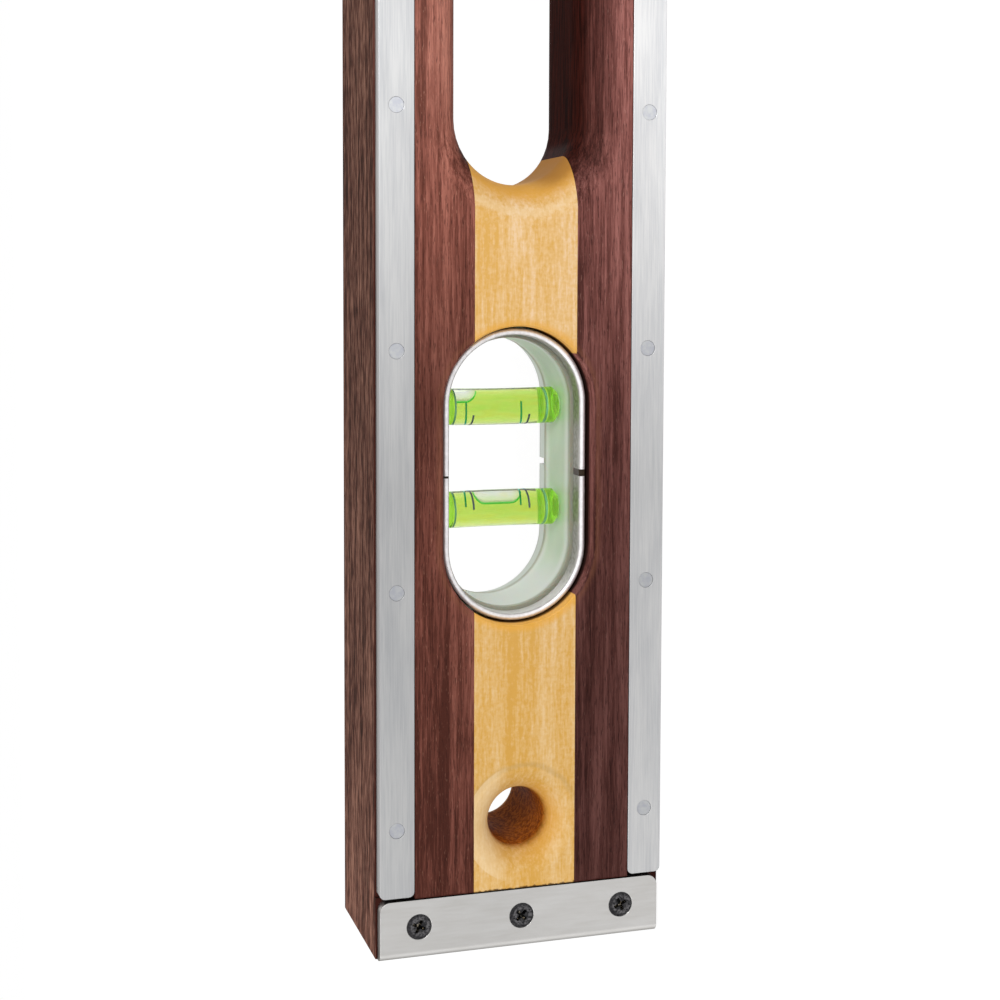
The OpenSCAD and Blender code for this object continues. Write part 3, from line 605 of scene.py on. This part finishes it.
# radii, in metres, tell a skin from the bore or bubble inside it; turned is how far it looks away from the eye
tubeLook = {
    "skin": 0.00345, "bend": 1.33, "turned": (0.84, 0.93), "edge": (0.55, 0.82, 0.20, 1),
    "shadow": (0.9, 0.97, 0.55, 1),
}
liquidLook = {
    "skin": 0.00280, "end": 0.0004, "shadow": (0.85, 0.95, 0.3, 1), "soak": (0.742, 0.862, 0.12, 1),
    "density": 480.0,
    "streaks": [(0.36, (0.93, 1.0, 0.92)), (0.52, (1.0, 1.0, 1.0)), (0.64, (1.0, 0.98, 0.84))],
    "turned": (0.74, 0.97), "green": (0.60, 0.90, 0.35),
    "bubbleTurned": (0.38, 0.76), "bubble": (0.82, 0.84, 0.93), "bubbleRim": (0.12, 0.80, 0.28),
}
plugLook = {
    "dark": (0.26, 0.60, 0.05), "light": (0.42, 0.76, 0.08), "glow": (0.012, 0.028, 0.0012),
    "wetGlow": (0.22, 0.29, 0.035),
}


def makeVialTube(look):
    # only the outer skin bends light, since the liquid hides the bore of the tube
    material, t = newMaterial("vialTube")
    skin = axisDistance(t, look["skin"])
    glass = t.add("ShaderNodeBsdfGlass", {"Roughness": 0.0, "IOR": look["bend"], "Color": (1, 1, 1, 1)})
    see = t.add("ShaderNodeBsdfTransparent", {"Color": (1, 1, 1, 1)})
    # where the tube turns away from the eye, it passes light as green plastic does
    turned = t.add("ShaderNodeLayerWeight", {"Blend": 0.5}).outputs["Facing"]
    edge = t.add("ShaderNodeBsdfTransparent", {"Color": look["edge"]})
    outer = t.add("ShaderNodeMixShader", {0: t.range(turned, *look["turned"]), 1: glass.outputs[0],
                                          2: edge.outputs[0]})
    both = t.add("ShaderNodeMixShader", {0: skin, 1: see.outputs[0], 2: outer.outputs[0]})
    lamp = t.add("ShaderNodeLightPath").outputs["Is Shadow Ray"]
    tint = t.add("ShaderNodeBsdfTransparent", {"Color": look["shadow"]})
    t.finish(t.add("ShaderNodeMixShader", {0: lamp, 1: both.outputs[0], 2: tint.outputs[0]}).outputs[0])
    return material


def makeLiquid(look):
    # the liquid's skin passes light straight on; the bubble's is clear, and green where it turns away
    material, t = newMaterial("liquid")
    skin = t.math("MAXIMUM", axisDistance(t, look["skin"]), tubeEnds(t, look["end"]))
    turned = t.add("ShaderNodeLayerWeight", {"Blend": 0.5}).outputs["Facing"]
    streaks = t.noise(t.place((900, 500, 110), (3.1, 0.7, 1.9)), 1.0, 3.0, 0.55, 0.8)
    color = t.ramp(streaks, look["streaks"])
    color = t.mix(t.range(turned, *look["turned"], 0.0, 0.4), color, look["green"])
    see = t.add("ShaderNodeBsdfRefraction", {"Roughness": 0.0, "IOR": 1.0, "Color": color})
    rim = t.mix(t.range(turned, *look["bubbleTurned"]), look["bubble"], look["bubbleRim"])
    clear = t.add("ShaderNodeBsdfTransparent", {"Color": rim})
    both = t.add("ShaderNodeMixShader", {0: skin, 1: clear.outputs[0], 2: see.outputs[0]})
    lamp = t.add("ShaderNodeLightPath").outputs["Is Shadow Ray"]
    tint = t.add("ShaderNodeBsdfTransparent", {"Color": look["shadow"]})
    surface = t.add("ShaderNodeMixShader", {0: lamp, 1: both.outputs[0], 2: tint.outputs[0]})
    soak = t.add("ShaderNodeVolumeAbsorption", {"Color": look["soak"], "Density": look["density"]})
    t.finish(surface.outputs[0], soak.outputs[0])
    return material


def makePlug(look):
    # clear and green, with a painted glow as if lit a little from within
    material, t = newMaterial("plugPlastic")
    clouds = t.speckle(1.6)
    color = t.ramp(t.math("ADD", clouds, 0.5), [(0.3, look["dark"]), (0.7, look["light"])])
    # the face against the liquid gets a brighter painted glow, in the liquid's colour
    glow = t.mix(tubeEnds(t, -0.0002), look["wetGlow"], look["glow"])
    t.finish(t.principled(Base_Color=color, Roughness=0.15, Transmission_Weight=0.85, IOR=1.12,
                          Emission_Color=glow, Emission_Strength=1.0,
                          Normal=t.bump(clouds, 0.05, 0.0001)).outputs[0])
    return material


# paint on a vial: on its half towards the front, and a lighter paint with a painted glow on the half behind,
# seen through the liquid
paintLook = {
    "line": ((0.055, 0.085, 0.105), (0.02, 0.45, 0.90)), "seam": ((0.14, 0.44, 0.22), (0.60, 0.85, 0.40)),
    # dark paint for the blocks in the ring gaps, standing for shade
    "gapShadePaint": ((0.030, 0.018, 0.008), (0.030, 0.018, 0.008)),
}


def makePaint(name, near, far):
    # what lies behind the liquid is painted lighter with a painted glow, and the liquid takes some of its
    # colour back
    material, t = newMaterial(name)
    behind = t.math("GREATER_THAN", t.parts()[1], 0.0)
    t.finish(t.principled(Base_Color=t.mix(behind, near, far), Emission_Color=t.mix(behind, (0, 0, 0), far),
                          Emission_Strength=0.35, Roughness=0.4, Specular_IOR_Level=0.3).outputs[0])
    return material


materials = {
    "dark_wood": makeDarkWood(darkWoodLook),
    "pale_wood": makePaleWood(paleWoodLook),
    "steel": makeBrushed("edgeSteel", steelLook),
    "plate_steel": makeBrushed("plateSteel", plateLook),
    "rivet_steel": makeRivetSteel(rivetLook),
    "screw_steel": makeScrewBlack(screwLook),
    "nickel": makeNickel(nickelLook),
    "clear_glass": makePane(paneLook),
    "liner_plastic": makeLiner(linerLook),
    "vial_plastic": makeVialTube(tubeLook),
    "fluid": makeLiquid(liquidLook),
    "plug_plastic": makePlug(plugLook),
}
linePaint = makePaint("linePaint", *paintLook["line"])
seamPaint = makePaint("seamPaint", *paintLook["seam"])
gapShadePaint = makePaint("gapShadePaint", *paintLook["gapShadePaint"])
for part in frame["record"]["subparts"]:
    mesh = nodes[part["node"]].data
    mesh.materials.clear()
    mesh.materials.append(materials[part["material_slot"]])
print("materials assigned")


# marks and seams on the vials: bands carried round each bent tube
vialMarks = {
    "halfGap": 0.0064, "width": 0.00042, "inner": 0.00396, "outer": 0.00403,
    # half the angle that a mark goes round, and how far its middle is turned from the bow towards the back
    "reach": 1.59, "turn": 0.09, "innerReach": 1.385, "innerTurn": 0.215,
}
vialSeam = {"width": 0.0004, "inner": 0.00310, "outer": 0.00396, "inset": 0.00025}
bandTurns = 49  # points round a band


def bandMesh(placePoint, along, width, inner, outer, reach, turned=0.0):
    # a band of a tube's surface: width runs along the vial, the angle round it goes from -reach to reach about
    # its middle, 0 at the bow, and the profile is a small rectangle from the inner to the outer radius. A reach
    # of half a turn closes it
    closed = reach > 3.1
    angle = np.linspace(-reach, reach, bandTurns, endpoint=not closed) + turned
    profile = np.array([[-width / 2, inner], [-width / 2, outer], [width / 2, outer], [width / 2, inner]])
    a, l = np.meshgrid(angle, along + profile[:, 0], indexing="ij")
    r = np.broadcast_to(profile[:, 1], a.shape)
    points = placePoint(l, r, a).reshape(-1, 3)
    ring = np.arange(bandTurns * 4).reshape(bandTurns, 4)
    nextRing = np.roll(ring, -1, axis=0)
    if not closed:
        ring, nextRing = ring[:-1], nextRing[:-1]
    nextCorner = [np.roll(corners, -1, axis=1) for corners in (ring, nextRing)]
    faces = np.stack([ring, nextCorner[0], nextCorner[1], nextRing], axis=2).reshape(-1, 4).tolist()
    if not closed:
        last = 4 * bandTurns - 4
        faces += [[3, 2, 1, 0], [last, last + 1, last + 2, last + 3]]
    return points, faces


def vialPlace(center, axis, bow):
    # a point at a length along a vial, a radius and an angle from the bow: the centre line falls back from the
    # bow by the square of the length over twice the bend
    axis, bow = np.array(axis, float), np.array(bow, float)
    side = np.cross(axis, bow)

    def point(l, r, a):
        fall = l * l / (2 * level["bend"])
        out, across = r * np.cos(a) - fall, r * np.sin(a)
        return np.array(center) + l[..., None] * axis + out[..., None] * bow + across[..., None] * side
    return point


vials = {}
for i, window in ((0, "left"), (2, "right")):
    x = windowXs[i] + level["vialShift"] * (1 if i == 0 else -1)
    for way in (-1, 1):
        name = window + ("_outer" if (way < 0) == (i == 0) else "_inner")
        # positive angles go to the front for a vial that bows to the left, and to the back for the other
        center = (x + way * level["vialPitch"] / 2, 0, level["windowZ"])
        vials[name] = (vialPlace(center, (0, 0, 1), (-way, 0, 0)), level["plumbTube"], -way)
for way, name in ((-1, "centre_lower"), (1, "centre_upper")):
    center = (0, 0, level["windowZ"] + way * level["levelPitch"] / 2)
    vials[name] = (vialPlace(center, (1, 0, 0), (0, 0, way)), level["levelTube"], way)


def addPiece(name, points, faces, material, slot):
    # a piece of the level from its points and faces, with its material
    mesh = bpy.data.meshes.new(name)
    mesh.from_pydata(points.tolist(), [], faces)
    mesh.update()
    piece = bpy.data.objects.new(name, mesh)
    bpy.context.scene.collection.objects.link(piece)
    mesh.materials.append(material)
    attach(piece, "root")


def joinParts(parts):
    # several meshes as one: the corner numbers of each start after the points of those before it
    points, faces, start = [], [], 0
    for p, f in parts:
        points.append(p)
        faces += [[start + i for i in face] for face in f]
        start += len(p)
    return np.concatenate(points), faces


for name, (point, tube, backSign) in vials.items():
    isInner = name.endswith("_inner")
    reach = vialMarks["innerReach" if isInner else "reach"]
    turned = vialMarks["innerTurn" if isInner else "turn"] * backSign
    marks = joinParts([bandMesh(point, way * vialMarks["halfGap"], vialMarks["width"], vialMarks["inner"],
                                vialMarks["outer"], reach, turned) for way in (-1, 1)])
    addPiece(name + "_marks", *marks, linePaint, "plug_plastic")
    seams = joinParts([bandMesh(point, way * (tube / 2 - vialSeam["inset"]), vialSeam["width"],
                                vialSeam["inner"], vialSeam["outer"], np.pi) for way in (-1, 1)])
    addPiece(name + "_seams", *seams, seamPaint, "plug_plastic")
print("vial marks and seams made")

# painted shade in the gaps between the ring halves on the front face: dark blocks below the rims, as wide as
# the gap towards the upper or the lower edge, from radius to radius and from depth to depth
gapShadeBlocks = {
    "upper": 0.00046, "lower": 0.00146, "inner": 0.01460, "outer": 0.01594, "top": 0.0034, "bottom": 0.0066,
}


def boxMesh(low, high):
    # a block between two corners: each corner takes the lower or the higher x, y and z
    xs, ys, zs = zip(low, high)
    corners = np.array([[x, y, z] for x in xs for y in ys for z in zs])
    return corners, [[0, 1, 3, 2], [4, 6, 7, 5], [0, 4, 5, 1], [2, 3, 7, 6], [0, 2, 6, 4], [1, 5, 7, 3]]


blocks = []
for x in windowXs:
    for way, wide in ((-1, gapShadeBlocks["lower"]), (1, gapShadeBlocks["upper"])):
        z = sorted((level["windowZ"] + way * gapShadeBlocks["inner"], level["windowZ"] + way * gapShadeBlocks["outer"]))
        blocks.append(boxMesh((x - wide / 2, gapShadeBlocks["top"] - level["thickness"] / 2, z[0]),
                              (x + wide / 2, gapShadeBlocks["bottom"] - level["thickness"] / 2, z[1])))
addPiece("ring_gap_shade", *joinParts(blocks), gapShadePaint, "dark_wood")
print("ring gaps filled")


# floor, world and lamps
floorLook = {"halfSize": 6.0, "color": (0.85, 0.85, 0.85, 1), "glow": 1.22, "share": 0.75}
worldPower = 0.45
lamps = {
    "keyLamp": {"place": (0.35, -0.9, 0.55), "aim": (-0.15, 0, 0.03), "size": (0.7, 0.5), "watts": 6.5},
    "fillLamp": {"place": (-0.9, -0.7, 0.5), "aim": (-0.2, 0, 0.03), "size": (0.6, 0.6), "watts": 2.4},
}


def seenRay(t):
    # 1 for a ray from the eye, straight, reflected or through glass: the largest of the three
    path = t.add("ShaderNodeLightPath").outputs
    straight = t.math("MAXIMUM", path["Is Camera Ray"], path["Is Glossy Ray"])
    return t.math("MAXIMUM", straight, path["Is Transmission Ray"])


def makeFloor(look):
    # one square; the share of it that glows for the eye makes it white, and the rest keeps the shadow
    mesh = bpy.data.meshes.new("floor")
    size = look["halfSize"]
    corners = [(-size, -size, 0), (size, -size, 0), (size, size, 0), (-size, size, 0)]
    mesh.from_pydata(corners, [], [(0, 1, 2, 3)])
    floor = bpy.data.objects.new("floor", mesh)
    bpy.context.scene.collection.objects.link(floor)
    material, t = newMaterial("paleFloor")
    lit = t.add("ShaderNodeBsdfDiffuse", {"Color": look["color"]})
    glow = t.add("ShaderNodeEmission", {"Color": (1, 1, 1, 1), "Strength": look["glow"]})
    share = t.math("MULTIPLY", seenRay(t), look["share"])
    t.finish(t.add("ShaderNodeMixShader", {0: share, 1: lit.outputs[0], 2: glow.outputs[0]}).outputs[0])
    mesh.materials.append(material)


def makeWorld(strength):
    # white for the eye, and a plain light of some strength on the level
    world = bpy.data.worlds.new("studio")
    bpy.context.scene.world = world
    t = Tree(world)
    power = t.range(seenRay(t), 0.0, 1.0, strength, 1.0, smooth=False)
    background = t.add("ShaderNodeBackground", {"Color": (1, 1, 1, 1), "Strength": power})
    t.add("ShaderNodeOutputWorld", {"Surface": background.outputs[0]})


def addLamp(name, place, aim, size, watts):
    # a soft rectangular lamp at a place, turned to look at a point
    data = bpy.data.lights.new(name, "AREA")
    data.shape = "RECTANGLE"
    data.size, data.size_y = size
    data.energy = watts
    lamp = bpy.data.objects.new(name, data)
    turn = (Vector(aim) - Vector(place)).to_track_quat("-Z", "Y").to_matrix().to_4x4()
    lamp.matrix_world = Matrix.Translation(Vector(place)) @ turn
    bpy.context.scene.collection.objects.link(lamp)


makeFloor(floorLook)
makeWorld(worldPower)
for name, lamp in lamps.items():
    addLamp(name, **lamp)
print("stage and light set")
